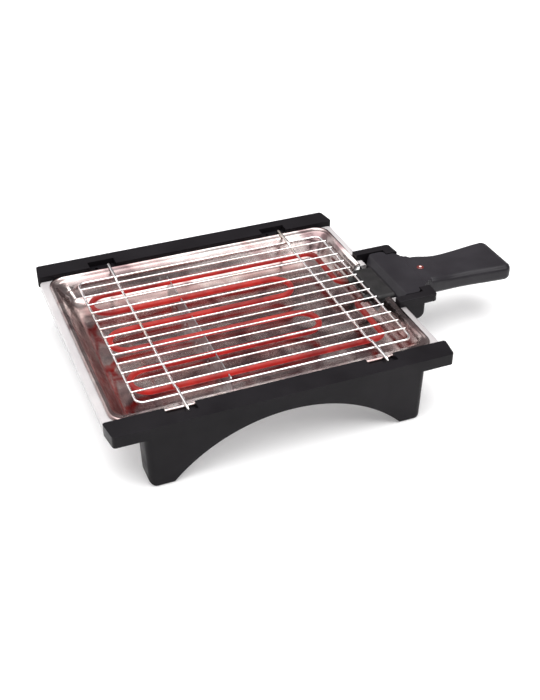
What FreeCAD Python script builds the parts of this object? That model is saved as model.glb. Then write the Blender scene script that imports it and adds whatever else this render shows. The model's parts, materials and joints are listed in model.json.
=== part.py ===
import FreeCAD, Part
import math
import os

# Electric table hibachi. Millimetres, +Z up, +X towards the grip, +Y towards the back.
# Every piece is drawn about the middle of the side frames and moved to the row's
# origin, the middle of the overall footprint on the table, when it is written.

V = FreeCAD.Vector
X_AXIS = V(1, 0, 0)
Y_AXIS = V(0, 1, 0)
Z_AXIS = V(0, 0, 1)

# ---- overall sizes
rail_length = 400.0        # inner edge of a side rail
frame_depth = 364.0        # front face to back face
rail_top = 80.0            # top of the rails above the table

# ---- side frames: a rail with an arched leg, moulded in one
rail_width = 28.0
rail_thick = 14.0
rail_end_slant = 4.0       # each end runs in by this much towards the outer face
rail_corner_r = 4.0
frame_wall = 3.0
frame_edge_r = 1.5
leg_inset = 37.0           # leg end to rail end
leg_taper = 2.0            # each leg end leans in by this much on its way down
leg_setback = 1.0          # leg face behind the rail face
leg_end_r = 9.0            # plan radius of the leg's outer corners
leg_foot_r = 8.0           # corner between the leg end and the foot
foot_length = 24.0         # flat of one foot
arch_crown = 7.0           # left standing between the arch and the rail
foot_proud = 1.5           # the pads hold the legs off the table
foot_pad_thick = 3.0
foot_pad_margin = 4.0
foot_stud_r = 2.5

# ---- rack seats, two round seats in each of four notches
seat_end_x = 83.5          # middle of a notch to its end of the rail
seat_pitch = 15.0          # low seat to raised seat
notch_length = 34.0
notch_reach = 13.5         # how far a notch goes into the rail
notch_depth = 7.0
seat_inset = 7.0           # seat centre behind the rail's inner face
seat_low = 14.0            # floor of the low seat below the rail top
seat_raise = 4.0           # how much higher the other seat holds the rack
seat_clear = 0.55          # radial

# ---- base tub and drip pan, pressed sheet
sheet = 1.0
flange_drop = 8.0          # tub flange below the rail top
flange_end_gap = 3.0       # flange edge inside the rail ends
flange_width = 11.0
lip_height = 10.0
tub_depth = 34.0
tub_slope = 15.0
tub_fold_r = 6.0
tub_corner_r = 18.0
pan_gap = 2.0              # pan wall to tub wall at the top
pan_depth = 29.0
pan_slope = 17.0
pan_fold_r = 18.0          # wall to floor
pan_bead_r = 1.7
pan_side_gap = 0.5         # rim to rails
rest_gap = 0.3             # running gap between pieces that rest on each other

# ---- rack
rod_r = 1.0
rack_frame_r = 1.5
support_r = 1.75
rack_end_gap = 20.0        # end wires inside the pan's walls
rack_side_gap = 14.0
rack_corner_r = 9.0
rod_count = 13
rack_drop = 3.0            # rod centres below the rail top
support_bend_r = 5.0
weld_gap = 0.02

# ---- heating element
element_r = 3.5
element_drop = 13.0        # element centre below the rail top
run_count = 6
run_end_gap = 36.0         # bends and cross legs inside the tub's end walls
run_side_gap = 42.0        # first and last run inside its side walls
feed_gap = 58.0            # right bends short of the cross legs to the middle
feed_bend_r = 12.0
cold_y = 22.0              # cold ends either side of the middle
tube_clear = 0.1
sleeve_wall = 0.9
sleeve_clear = 0.2
comb_set = 105.0           # strip to the outside of the left bends
comb_thick = 1.2
comb_margin = 12.0

# ---- cradle on the right flange
window_clear = 2.0         # pan and tub are open a little less wide than the neck
cradle_half = 66.0
cheek_thick = 12.0
cradle_proud = 1.5         # above the rails
tray_thick = 9.5
cradle_reach = 43.0        # beyond the flange
cradle_bow = 2.0
end_wall = 13.5
skirt_inset = 6.0
skirt_reach = 31.0
skirt_drop = 34.0          # below the rail top
skirt_r = 10.0
cradle_deep = 24.0         # its floor below the rail top

# ---- heater housing and grip
housing_wall = 2.5
housing_set = 2.0          # beyond the flange
housing_proud = 0.8        # above the rails
housing_clear = 2.0        # to the cheeks
neck_clear = 1.0
body_gap = 0.5             # housing to the cradle's end wall
grip_root_set = 12.0       # beyond the cradle
flare_set = 5.0            # the neck starts to narrow this far inside the cradle
flare_length = 11.0
grip_root_half = 32.0
grip_root_drop = 0.4       # these drops are below the rail top
grip_waist_half = 30.0
grip_end_half = 36.0
grip_edge_r = 7.0
grip_end_r = 9.0           # plan rounding of the grip's end
grip_end_roll = 4.5        # the same in side view
grip_waist_set = 36.0      # beyond the root
grip_length = 114.0        # root to far end
grip_waist_drop = 4.0
grip_end_drop = 3.2
grip_waist_thick = 21.0
grip_end_thick = 21.5
split_drop = 10.0
lens_r = 4.5
gland_set = 15.0           # beyond the root
gland_bore_r = 3.25
gland_wall = 2.0
gland_flange_r = 7.5
plunger_r = 1.5
plunger_travel = 3.0

# ---- shroud over the cold ends
shroud_sheet = 0.8
shroud_clear = 7.0         # inside the sides of the neck
shroud_set = 2.0           # off the rack's end wire
shroud_drop = 6.0          # below the rail top
shroud_reach = 7.0         # below the element's centre
shroud_corner_r = 5.0

# ---- fasteners
screw_r = 1.5
screw_head_r = 3.0
screw_head_h = 2.0
screw_clear = 0.05
boss_r = 4.0

# ---- derived places
rail_half = rail_length / 2
outer_y = frame_depth / 2
inner_y = outer_y - rail_width
rail_under = rail_top - rail_thick
arch_height = rail_under - arch_crown
leg_half = rail_half - leg_inset
foot_half = leg_half - leg_taper
foot_flat_out = foot_half - leg_foot_r * 0.4
foot_flat_in = foot_flat_out - foot_length
arch_rise = arch_height - foot_proud
arch_r = (foot_flat_in ** 2 + arch_rise ** 2) / (2 * arch_rise)
notch_floor = rail_top - notch_depth
flange_top = rail_top - flange_drop
flange_half_x = rail_half - flange_end_gap
flange_half_y = inner_y - 0.1
tub_half_x = flange_half_x - flange_width
tub_half_y = inner_y - 7.0
pan_half_x = tub_half_x - sheet - pan_gap
pan_half_y = tub_half_y - sheet - pan_gap
bead_z = flange_top + rest_gap + pan_bead_r
pan_top = bead_z + sheet / 2
pan_floor = bead_z - pan_depth
rack_length = 2 * (pan_half_x - rack_end_gap)
rack_depth = 2 * (pan_half_y - rack_side_gap)
rod_z = rail_top - rack_drop
rack_frame_z = rod_z - rod_r - rack_frame_r - weld_gap
support_z = rod_z - rod_r - support_r - weld_gap
support_high = rack_frame_z + rack_frame_r + support_r + weld_gap
rack_x = seat_pitch / 2
seat_y = inner_y + seat_inset
element_z = rail_top - element_drop
feed_x = tub_half_x - run_end_gap
run_left = -feed_x
run_right = feed_x - feed_gap
run_pitch = 2 * (tub_half_y - run_side_gap) / (run_count - 1)
comb_x = run_left + comb_set
sleeve_r = element_r + tube_clear + sleeve_wall
cradle_top = rail_top + cradle_proud
cradle_out = flange_half_x + cradle_reach
cradle_floor = rail_top - cradle_deep
skirt_half = cradle_half - skirt_inset
skirt_out = flange_half_x + skirt_reach
skirt_bottom = rail_top - skirt_drop
tab_width = cradle_half / 3    # each end tab beside the neck
neck_gap_half = cradle_half - tab_width
window_half = neck_gap_half - window_clear
body_half = cradle_half - cheek_thick - housing_clear
neck_half = neck_gap_half - neck_clear
shroud_half = neck_half - shroud_clear
cavity_x = cradle_out - end_wall
housing_x = flange_half_x + housing_set
housing_top = rail_top + housing_proud
housing_bottom = cradle_floor + rest_gap
body_x = cavity_x - body_gap
flare_start_x = cradle_out - flare_set
flare_end_x = flare_start_x + flare_length
grip_root_x = cradle_out + grip_root_set
grip_root_top = rail_top - grip_root_drop
grip_waist_x = grip_root_x + grip_waist_set
grip_waist_top = rail_top - grip_waist_drop
grip_waist_bottom = grip_waist_top - grip_waist_thick
grip_end = grip_root_x + grip_length
grip_end_top = rail_top - grip_end_drop
grip_end_bottom = grip_end_top - grip_end_thick
split_z = rail_top - split_drop
lens_x = grip_root_x
gland_x = grip_root_x + gland_set
frame_shift = V(-(grip_end - rail_half) / 2, 0, 0)


def box(x0, x1, y0, y1, z0, z1):
    return Part.makeBox(x1 - x0, y1 - y0, z1 - z0, V(x0, y0, z0))


def rod(radius, start, direction, length):
    return Part.makeCylinder(radius, length, start, direction)


def corner_arc(before, corner, after, radius):
    """Tangent points and middle point of the arc that rounds a corner."""
    to_before = (before - corner).normalize()
    to_after = (after - corner).normalize()
    half = to_before.getAngle(to_after) / 2
    reach = radius / math.tan(half)
    start = corner + to_before * reach
    end = corner + to_after * reach
    middle_way = (to_before + to_after).normalize()
    middle = corner + middle_way * (radius / math.sin(half) - radius)
    return start, middle, end


def rounded_loop(corners):
    """Closed wire through (point, radius) corners."""
    edges = []
    count = len(corners)
    joints = []
    for i in range(count):
        point, radius = corners[i]
        if radius > 0:
            joints.append(corner_arc(corners[i - 1][0], point, corners[(i + 1) % count][0], radius))
        else:
            joints.append((point, None, point))
    for i in range(count):
        start, middle, end = joints[i]
        if middle is not None:
            edges.append(Part.Arc(start, middle, end).toShape())
        next_start = joints[(i + 1) % count][0]
        if (next_start - end).Length > 1e-6:
            edges.append(Part.LineSegment(end, next_start).toShape())
    return Part.Wire(edges)


def route(points, radius):
    """Open wire of straight runs joined by tangent arcs."""
    edges = []
    at = points[0]
    for i in range(1, len(points) - 1):
        start, middle, end = corner_arc(points[i - 1], points[i], points[i + 1], radius)
        if (start - at).Length > 1e-6:
            edges.append(Part.LineSegment(at, start).toShape())
        edges.append(Part.Arc(start, middle, end).toShape())
        at = end
    edges.append(Part.LineSegment(at, points[-1]).toShape())
    return Part.Wire(edges)


def wire_rod(path, radius):
    """Round bar along a path."""
    first = path.Edges[0]
    at = first.valueAt(first.FirstParameter)
    along = first.tangentAt(first.FirstParameter)
    if first.Orientation == "Reversed":
        at = first.valueAt(first.LastParameter)
        along = first.tangentAt(first.LastParameter) * -1
    ring = Part.Wire([Part.makeCircle(radius, at, along)])
    shape = path.makePipeShell([ring], True, False)
    return Part.Solid(shape.Shells[0])


def rect_loop(half_x, half_y, radius, z, mid_x=0.0):
    corners = []
    for sx, sy in ((-1, -1), (1, -1), (1, 1), (-1, 1)):
        corners.append((V(mid_x + sx * half_x, sy * half_y, z), radius))
    return rounded_loop(corners)


def slab(loop, height):
    return Part.Face(loop).extrude(V(0, 0, height))


def bead_ring(half_x, half_y, corner, z, radius):
    """Round bead that follows a rounded rectangle, as quarter rings and straight rods."""
    pieces = []
    for sx, sy, turn in ((1, 1, 0), (-1, 1, 90), (-1, -1, 180), (1, -1, 270)):
        at = V(sx * (half_x - corner), sy * (half_y - corner), z)
        ring = Part.makeTorus(corner, radius, V(0, 0, 0), Z_AXIS, -180, 180, 90)
        ring.rotate(V(0, 0, 0), Z_AXIS, turn)
        ring.translate(at)
        pieces.append(ring)
    for side in (-1, 1):
        along_x = V(-(half_x - corner), side * half_y, z)
        along_y = V(side * half_x, -(half_y - corner), z)
        pieces.append(rod(radius, along_x, X_AXIS, 2 * (half_x - corner)))
        pieces.append(rod(radius, along_y, Y_AXIS, 2 * (half_y - corner)))
    return pieces[0].fuse(pieces[1:])


def screw(seat, direction, length):
    """Pan-head screw: seat is the underside of its head."""
    head = rod(screw_head_r, seat, direction * -1, screw_head_h)
    shank = rod(screw_r, seat, direction, length)
    return head.fuse(shank).removeSplitter()


def soften(shape, radius, wanted):
    """Rounds the edges that wanted() picks."""
    edges = [edge for edge in shape.Edges if wanted(edge)]
    return shape.makeFillet(radius, edges) if edges else shape


def mirrored(shape):
    return shape.mirror(V(0, 0, 0), Y_AXIS)


def write(name, shape):
    piece = shape.copy()
    piece.translate(frame_shift)
    piece.exportStep("parts/" + name + ".step")
    print(name, len(piece.Solids), "solids", round(piece.Volume), "mm3", piece.isValid())


# ---- side frames, drawn for the front, where the outer face looks along -Y

def leg_loop(inset, top_z, y):
    """Outline of the arched leg, drawn in by inset."""
    low = foot_proud + inset
    rise_centre = arch_height - arch_r
    reach = math.sqrt((arch_r + inset) ** 2 - (low - rise_centre) ** 2)
    corner_r = leg_foot_r - inset * 0.5
    out_top = leg_half - inset
    out_low = foot_half - inset
    corners = []
    for side in (-1, 1):
        heel = [(V(side * out_top, y, top_z), 0), (V(side * out_low, y, low), corner_r),
                (V(side * reach, y, low), 0)]
        corners.append(heel)
    left = corners[0]
    right = corners[1]
    edges = []
    start, middle, end = corner_arc(left[0][0], left[1][0], left[2][0], corner_r)
    edges.append(Part.LineSegment(left[0][0], start).toShape())
    edges.append(Part.Arc(start, middle, end).toShape())
    edges.append(Part.LineSegment(end, left[2][0]).toShape())
    crown = V(0, y, arch_height + inset)
    edges.append(Part.Arc(left[2][0], crown, right[2][0]).toShape())
    start, middle, end = corner_arc(right[2][0], right[1][0], right[0][0], corner_r)
    edges.append(Part.LineSegment(right[2][0], start).toShape())
    edges.append(Part.Arc(start, middle, end).toShape())
    edges.append(Part.LineSegment(end, right[0][0]).toShape())
    edges.append(Part.LineSegment(right[0][0], left[0][0]).toShape())
    return Part.Wire(edges)


def rail_loop(inset, z):
    """Plan of a rail: its ends run in towards the outer face."""
    inner = -inner_y - inset
    outer = -outer_y + inset
    inner_x = rail_half - inset
    outer_x = rail_half - rail_end_slant - inset
    radius = max(rail_corner_r - inset, 0.5)
    return rounded_loop([(V(-inner_x, inner, z), 0.5), (V(-outer_x, outer, z), radius),
                         (V(outer_x, outer, z), radius), (V(inner_x, inner, z), 0.5)])


def seat_xs():
    """Middle of each notch."""
    return (seat_end_x - rail_half, rail_half - seat_end_x)


def frame_screw_xs():
    past_notch = notch_length / 2 + frame_wall + boss_r + 4
    places = []
    for middle in seat_xs():
        inward = -1 if middle > 0 else 1
        places.append(middle + inward * (past_notch + 22))
        places.append(middle - inward * (past_notch + 10))
    return places


def cover_screw_places():
    """Bosses above the feet and on the haunches of the arch."""
    heel = (foot_flat_out + foot_flat_in) / 2
    haunch = foot_flat_in * 0.8
    haunch_z = (arch_height - arch_r + math.sqrt(arch_r ** 2 - haunch ** 2) + rail_under) / 2
    places = []
    for side in (-1, 1):
        places.append((side * heel, foot_proud + foot_stud_r + boss_r + 12))
        places.append((side * haunch, haunch_z - 1))
    return places


def cover_top():
    return rail_under - 1 - rest_gap


def side_frame():
    face_y = -outer_y + leg_setback
    leg = Part.Face(leg_loop(0, rail_under + 1, face_y)).extrude(V(0, -inner_y - face_y, 0))
    plan = rounded_loop([(V(-leg_half - 1, -inner_y, -1), 0), (V(-leg_half, face_y, -1), leg_end_r),
                         (V(leg_half, face_y, -1), leg_end_r), (V(leg_half + 1, -inner_y, -1), 0)])
    leg = leg.common(slab(plan, rail_top))
    rail = slab(rail_loop(0, rail_under), rail_thick)
    rail = soften(rail, frame_edge_r, lambda edge: edge.BoundBox.ZMin > rail_top - 0.01)
    shape = rail.fuse(leg)
    hollow = Part.Face(leg_loop(frame_wall, rail_under, face_y + frame_wall))
    shape = shape.cut(hollow.extrude(V(0, rail_width, 0)))
    shape = shape.cut(slab(rail_loop(frame_wall, rail_under - 1), rail_thick + 1 - frame_wall))
    shape = shape.fuse(frame_bosses())
    for middle in seat_xs():
        shape = shape.cut(notch(middle))
    for x in frame_screw_xs():
        start = V(x, -inner_y + 1, frame_screw_z())
        shape = shape.cut(rod(screw_r + screw_clear, start, Y_AXIS * -1, 13))
    for x, z in cover_screw_places():
        start = V(x, -inner_y + 1, z)
        shape = shape.cut(rod(screw_r + screw_clear, start, Y_AXIS * -1, 14))
    for side in (-1, 1):
        shape = shape.cut(foot_recess(side))
    return shape.removeSplitter()


def frame_screw_z():
    return flange_top - lip_height / 2 - 0.5


def frame_bosses():
    """Seat blocks, screw bosses and cover posts inside the hollow."""
    pieces = []
    inner = -inner_y
    for middle in seat_xs():
        half = notch_length / 2 + frame_wall
        pieces.append(box(middle - half, middle + half, inner - notch_reach - frame_wall, inner,
                          rail_top - seat_low - frame_wall, rail_top - frame_edge_r))
    for x in frame_screw_xs():
        pieces.append(box(x - boss_r, x + boss_r, inner - 14, inner, rail_under - 1, rail_top - 1.5))
    back = -outer_y + leg_setback + 1
    post_end = inner - cover_thick() - rest_gap
    for x, z in cover_screw_places():
        pieces.append(rod(boss_r, V(x, back, z), Y_AXIS, post_end - back))
    return pieces[0].fuse(pieces[1:])


def cover_thick():
    return housing_wall


def notch(middle):
    """A notch in the rail's inner edge with its two round seats."""
    half = notch_length / 2
    inner = -inner_y
    space = box(middle - half, middle + half, inner - notch_reach, inner + 1,
                notch_floor, rail_top + 1)
    radius = support_r + seat_clear
    low = rod(radius, V(middle + seat_pitch / 2, -seat_y, rail_top - seat_low), Z_AXIS, seat_low)
    high = rod(radius, V(middle - seat_pitch / 2, -seat_y, rail_top - seat_low + seat_raise),
               Z_AXIS, seat_low - seat_raise)
    return space.fuse([low, high])


def pad_span():
    return foot_flat_in + foot_pad_margin, foot_flat_out - foot_pad_margin / 2


def foot_recess(side):
    x0, x1 = sorted(side * x for x in pad_span())
    y0 = -outer_y + leg_setback + foot_pad_margin + 2
    y1 = -inner_y - foot_pad_margin
    recess = box(x0, x1, y0, y1, 0, foot_pad_thick)
    stud = rod(foot_stud_r, V((x0 + x1) / 2, (y0 + y1) / 2, 0), Z_AXIS, foot_proud + frame_wall + 2)
    return recess.fuse(stud)


def foot_pad(side):
    """Rubber pad with a stud that is pushed into the leg."""
    x0, x1 = sorted(side * x for x in pad_span())
    y0 = -outer_y + leg_setback + foot_pad_margin + 2
    y1 = -inner_y - foot_pad_margin
    gap = 0.1
    pad = box(x0 + gap, x1 - gap, y0 + gap, y1 - gap, 0, foot_pad_thick)
    pad = soften(pad, 1.0, lambda edge: edge.BoundBox.ZLength > 1)
    stud = rod(foot_stud_r - gap, V((x0 + x1) / 2, (y0 + y1) / 2, 0), Z_AXIS,
               foot_proud + frame_wall + 1.5)
    return pad.fuse(stud).removeSplitter()


def inner_cover():
    """Plate that closes the hollow leg from the inside."""
    inset = frame_wall + rest_gap
    y = -inner_y - rest_gap
    plate = Part.Face(leg_loop(inset, cover_top(), y)).extrude(V(0, -cover_thick(), 0))
    for x, z in cover_screw_places():
        plate = plate.cut(rod(screw_r + screw_clear * 4, V(x, y + 1, z), Y_AXIS * -1, 10))
    block_half = notch_length / 2 + frame_wall + rest_gap
    for middle in seat_xs():
        plate = plate.cut(box(middle - block_half, middle + block_half, y - 9, y + 9,
                              rail_top - seat_low - frame_wall - rest_gap, rail_top))
    return plate


def frame_screws():
    seat = -inner_y + 0.1 + sheet
    shanks = [screw(V(x, seat, frame_screw_z()), Y_AXIS * -1, 11) for x in frame_screw_xs()]
    return Part.makeCompound(shanks)


def cover_screws():
    seat = -inner_y - rest_gap
    return Part.makeCompound([screw(V(x, seat, z), Y_AXIS * -1, 11) for x, z in cover_screw_places()])


# ---- base tub and drip pan

def well(half_x, half_y, top, floor, slope, fold, radius, over):
    """Space of a pressed well, carried on by over above its top."""
    spread = slope / (top - floor)
    start, middle, end = corner_arc(V(0, 0, top), V(slope, 0, floor), V(slope + 50, 0, floor), fold)
    rings = [(-spread * over, top + over), (start.x, start.z), (middle.x, middle.z), (end.x, end.z)]
    loops = [rect_loop(half_x - drawn, half_y - drawn, radius - drawn * 0.15, z) for drawn, z in rings]
    return Part.makeLoft(loops, True, True)


def tub_well(thin, over):
    return well(tub_half_x - thin, tub_half_y - thin, flange_top, flange_top - tub_depth + thin,
                tub_slope, tub_fold_r - thin, tub_corner_r - thin, over)


def pan_well(thin, over):
    return well(pan_half_x - thin, pan_half_y - thin, pan_top, pan_floor + thin,
                pan_slope, pan_fold_r - thin, tub_corner_r - 2 - thin, over)


def window(z0):
    """Space that the heater's cold ends need in the right-hand walls."""
    return box(tub_half_x - 2 * tub_slope, flange_half_x + 5, -window_half, window_half,
               z0, rail_top + 5)


def cradle_screw_places():
    """Down the middle of the flange, under the two cheeks."""
    x = flange_half_x - flange_width / 2 + 0.5
    y = cradle_half - cheek_thick / 2
    return ((x, -y), (x, y))


def base_tub():
    outer = rect_loop(flange_half_x, flange_half_y, 2.0, flange_top - lip_height)
    inner = rect_loop(flange_half_x - sheet, flange_half_y - sheet, 1.0, flange_top - lip_height - 1)
    skirt = slab(outer, lip_height).cut(slab(inner, lip_height + 1 - sheet))
    shape = skirt.fuse(tub_well(0, 0)).cut(tub_well(sheet, 2))
    shape = shape.cut(window(element_z - 8))
    for x in frame_screw_xs():
        for side in (-1, 1):
            start = V(x, side * (flange_half_y - 3), frame_screw_z())
            shape = shape.cut(rod(screw_r + screw_clear * 4, start, V(0, side, 0), 5))
    for x, y in cradle_screw_places():
        shape = shape.cut(rod(screw_r + screw_clear * 4, V(x, y, flange_top - 3), Z_AXIS, 5))
    return shape.removeSplitter()


def drip_pan():
    bead_x = pan_half_x + pan_gap + sheet + 0.6
    bead_y = inner_y - pan_side_gap - pan_bead_r
    rim = slab(rect_loop(bead_x, bead_y, tub_corner_r, pan_top - sheet), sheet)
    bead = bead_ring(bead_x, bead_y, tub_corner_r, bead_z, pan_bead_r)
    shape = pan_well(0, 0).fuse([rim, bead]).cut(pan_well(sheet, 2))
    return shape.cut(window(element_z - 9)).removeSplitter()


# ---- rack

def rack_frame():
    half_x = rack_length / 2
    ring = bead_ring(half_x, rack_depth / 2, rack_corner_r, rack_frame_z, rack_frame_r)
    ring.translate(V(rack_x, 0, 0))
    return ring.removeSplitter()


def rod_ys():
    pitch = rack_depth / (rod_count + 1)
    return [-rack_depth / 2 + pitch * (i + 1) for i in range(rod_count)]


def rack_rods():
    half = rack_length / 2 + rack_frame_r
    bars = [rod(rod_r, V(rack_x - half, y, rod_z), X_AXIS, 2 * half) for y in rod_ys()]
    return Part.makeCompound(bars)


def rack_support(x):
    """Cross wire: under the rods, over the end wires, then down into the seats."""
    low_half = rack_depth / 2 - rack_depth / (rod_count + 1)
    step = support_high - support_z
    climb = 10.0
    hook_end = rail_top - seat_low + rest_gap
    half_way = [V(0, low_half + 2.5, support_z), V(0, low_half + 2.5 + climb, support_high),
                V(0, seat_y, support_high), V(0, seat_y, hook_end)]
    points = [V(x, -point.y, point.z) for point in reversed(half_way)]
    points += [V(x, point.y, point.z) for point in half_way]
    assert step > 0
    return wire_rod(route(points, support_bend_r), support_r)


def rack_supports():
    return Part.makeCompound([rack_support(middle + seat_pitch / 2) for middle in seat_xs()])


# ---- heating element

def run_ys():
    top = run_pitch * (run_count - 1) / 2
    return [top - i * run_pitch for i in range(run_count)]


def element_end():
    return body_x - 12.0


def heating_element():
    bend = run_pitch / 2
    ys = run_ys()
    points = [V(element_end(), cold_y, element_z), V(feed_x, cold_y, element_z),
              V(feed_x, ys[0], element_z)]
    for i, y in enumerate(ys):
        leftward = i % 2 == 0
        end_x = run_left if leftward else run_right
        if i > 0:
            points.append(V(points[-1].x, y, element_z))
        if i < run_count - 1:
            points.append(V(end_x, y, element_z))
    points.append(V(feed_x, ys[-1], element_z))
    points.append(V(feed_x, -cold_y, element_z))
    points.append(V(element_end(), -cold_y, element_z))
    edges = []
    at = points[0]
    for i in range(1, len(points) - 1):
        at_feed = abs(points[i].x - feed_x) < 0.1
        radius = feed_bend_r if at_feed else bend
        start, middle, end = corner_arc(points[i - 1], points[i], points[i + 1], radius)
        if (start - at).Length > 1e-6:
            edges.append(Part.LineSegment(at, start).toShape())
        edges.append(Part.Arc(start, middle, end).toShape())
        at = end
    edges.append(Part.LineSegment(at, points[-1]).toShape())
    return wire_rod(Part.Wire(edges), element_r)


def shroud_box(inset, low):
    """Shroud from its face over the pan to the housing, drawn in by inset."""
    face_x = rack_x + rack_length / 2 + rack_frame_r + shroud_set + inset
    half = shroud_half - inset
    top = rail_top - shroud_drop - inset
    block = box(face_x, housing_x - body_gap + inset, -half, half, low, top)
    radius = shroud_corner_r - inset
    block = soften(block, radius, lambda edge: (edge.BoundBox.XMin > face_x + 1
                                                or edge.BoundBox.XMax > face_x + 1)
                   and edge.BoundBox.XLength > 5 and edge.BoundBox.ZMin > top - 0.01)
    return soften(block, radius, lambda edge: (edge.BoundBox.ZLength > 5
                                               and edge.BoundBox.XMax < face_x + 0.01))


def element_shroud():
    """Steel box over the cold ends, open underneath and towards the housing."""
    low = element_z - shroud_reach
    shape = shroud_box(0, low).cut(shroud_box(shroud_sheet, low - 1))
    start_x = rack_x + rack_length / 2
    for side in (-1, 1):
        at = V(start_x, side * cold_y, element_z)
        shape = shape.cut(rod(sleeve_r + sleeve_clear, at, X_AXIS, 20))
    return shape


def cold_sleeves():
    start_x = feed_x + feed_bend_r
    length = plate_x() - rest_gap - start_x
    tubes = []
    for side in (-1, 1):
        at = V(start_x, side * cold_y, element_z)
        bore = rod(element_r + tube_clear, at, X_AXIS, length)
        tubes.append(rod(sleeve_r, at, X_AXIS, length).cut(bore))
    return Part.makeCompound(tubes)


def element_comb():
    """Upright strip that stands in the pan and carries the runs in its slots."""
    half = run_ys()[0] + comb_margin
    low = pan_floor + sheet + rest_gap
    top = element_z + element_r * 0.6
    strip = box(comb_x - comb_thick / 2, comb_x + comb_thick / 2, -half, half, low, top)
    strip = soften(strip, 3.0, lambda edge: edge.BoundBox.XLength > 1 and edge.BoundBox.YLength < 1)
    slot_r = element_r + tube_clear
    for y in run_ys():
        at = V(comb_x - comb_thick, y, element_z)
        strip = strip.cut(rod(slot_r, at, X_AXIS, comb_thick * 2))
        strip = strip.cut(box(comb_x - comb_thick, comb_x + comb_thick, y - slot_r, y + slot_r,
                              element_z, top + 1))
    for i in range(run_count - 1):
        middle = (run_ys()[i] + run_ys()[i + 1]) / 2
        at = V(comb_x - comb_thick, middle, (low + element_z) / 2)
        strip = strip.cut(rod(5.0, at, X_AXIS, comb_thick * 2))
    return strip


# ---- cradle

def cradle():
    bow_x = cradle_out + cradle_bow
    tray_low = cradle_top - tray_thick
    start_x = flange_half_x + 0.6
    tray = slab(rounded_loop([(V(start_x, -cradle_half, tray_low), 0),
                              (V(cradle_out, -cradle_half, tray_low), 5.0),
                              (V(bow_x, -neck_gap_half, tray_low), 0),
                              (V(bow_x, neck_gap_half, tray_low), 0),
                              (V(cradle_out, cradle_half, tray_low), 5.0),
                              (V(start_x, cradle_half, tray_low), 0)]), tray_thick)
    cheek_x = pan_half_x + pan_gap + sheet + 0.6 + pan_bead_r + 0.8
    over = flange_top + 0.1
    cheeks = box(cheek_x, start_x + 1, -cradle_half, cradle_half, over, cradle_top)
    top_block = tray.fuse(cheeks)
    top_block = soften(top_block.removeSplitter(), 1.2,
                       lambda edge: edge.BoundBox.ZMin > cradle_top - 0.01)
    lower = box(start_x, skirt_out, -skirt_half, skirt_half, skirt_bottom, tray_low + 1)
    lower = soften(lower, skirt_r, lambda edge: (edge.BoundBox.XMin > skirt_out - 0.01
                                                 and edge.BoundBox.ZMax < skirt_bottom + 0.01))
    lower = soften(lower, 3.0, lambda edge: (edge.BoundBox.XMin > skirt_out - 0.01
                                             and edge.BoundBox.ZLength > 5
                                             and edge.BoundBox.YLength < 0.1))
    shape = top_block.fuse(lower)
    slot_half = cradle_half - cheek_thick
    shape = shape.cut(box(cheek_x - 1, cavity_x, -slot_half, slot_half, cradle_floor, rail_top + 9))
    shape = shape.cut(box(cavity_x - 1, bow_x + 1, -neck_gap_half, neck_gap_half,
                          cradle_floor, rail_top + 9))
    for x, y in cradle_screw_places():
        shape = shape.cut(rod(screw_r + screw_clear, V(x, y, flange_top - 1), Z_AXIS, 6.6))
    return shape.removeSplitter()


def cradle_screws():
    seat = flange_top - sheet
    return Part.makeCompound([screw(V(x, y, seat), Z_AXIS, 6) for x, y in cradle_screw_places()])


# ---- heater housing and grip

def housing_plan(inset):
    """Plan of the housing and the neck, drawn in by inset."""
    half = []
    half.append((housing_x + inset, body_half - inset, 12.0 - inset))
    half.append((body_x - inset, body_half - inset, 6.0 - inset))
    half.append((body_x - inset, neck_half - inset, 1.0))
    half.append((flare_start_x - inset, neck_half - inset, 3.0))
    half.append((flare_end_x - inset / 2, grip_root_half - inset, 3.0 + inset / 2))
    half.append((grip_root_x, grip_root_half - inset, 0))
    corners = [(V(x, y, housing_bottom), r) for x, y, r in half]
    corners += [(V(x, -y, housing_bottom), r) for x, y, r in reversed(half)]
    return rounded_loop(corners)


def housing_side(inset):
    """Side view of the housing and the neck, drawn in by inset."""
    y = -cradle_half
    front_x = housing_x + inset
    top = housing_top - inset
    low = housing_bottom + inset
    return rounded_loop([
        (V(front_x, y, low), 0.5), (V(front_x, y, housing_top - 9 - inset * 0.4), 4.0),
        (V(front_x + 7, y, top), 3.0), (V(cradle_out - 2, y, top), 30.0),
        (V(grip_root_x, y, grip_root_top - inset), 0), (V(grip_root_x, y, low), 0)])


def ease(start, end, share):
    """Value that leaves start and reaches end without a kink."""
    share = min(max(share, 0.0), 1.0)
    return start + (end - start) * share * share * (3 - 2 * share)


def grip_size(x):
    """Half width, underside and top of the grip at x."""
    to_waist = (x - grip_root_x) / (grip_waist_x - grip_root_x)
    to_end = (x - grip_waist_x) / (grip_end - grip_waist_x)
    if x < grip_waist_x:
        return (ease(grip_root_half, grip_waist_half, to_waist),
                ease(housing_bottom, grip_waist_bottom, to_waist),
                ease(grip_root_top, grip_waist_top, to_waist))
    return (ease(grip_waist_half, grip_end_half, to_end),
            ease(grip_waist_bottom, grip_end_bottom, to_end),
            ease(grip_waist_top, grip_end_top, to_end))


def grip_section(x, inset, side_in, roll_in, radius):
    """Cross-section of the grip at x, drawn in at its sides and at top and bottom."""
    half, low, top = grip_size(x)
    half -= inset + side_in
    low += inset + roll_in
    top -= inset + roll_in
    return rounded_loop([(V(x, -half, low), radius), (V(x, half, low), radius),
                         (V(x, half, top), radius), (V(x, -half, top), radius)])


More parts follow.
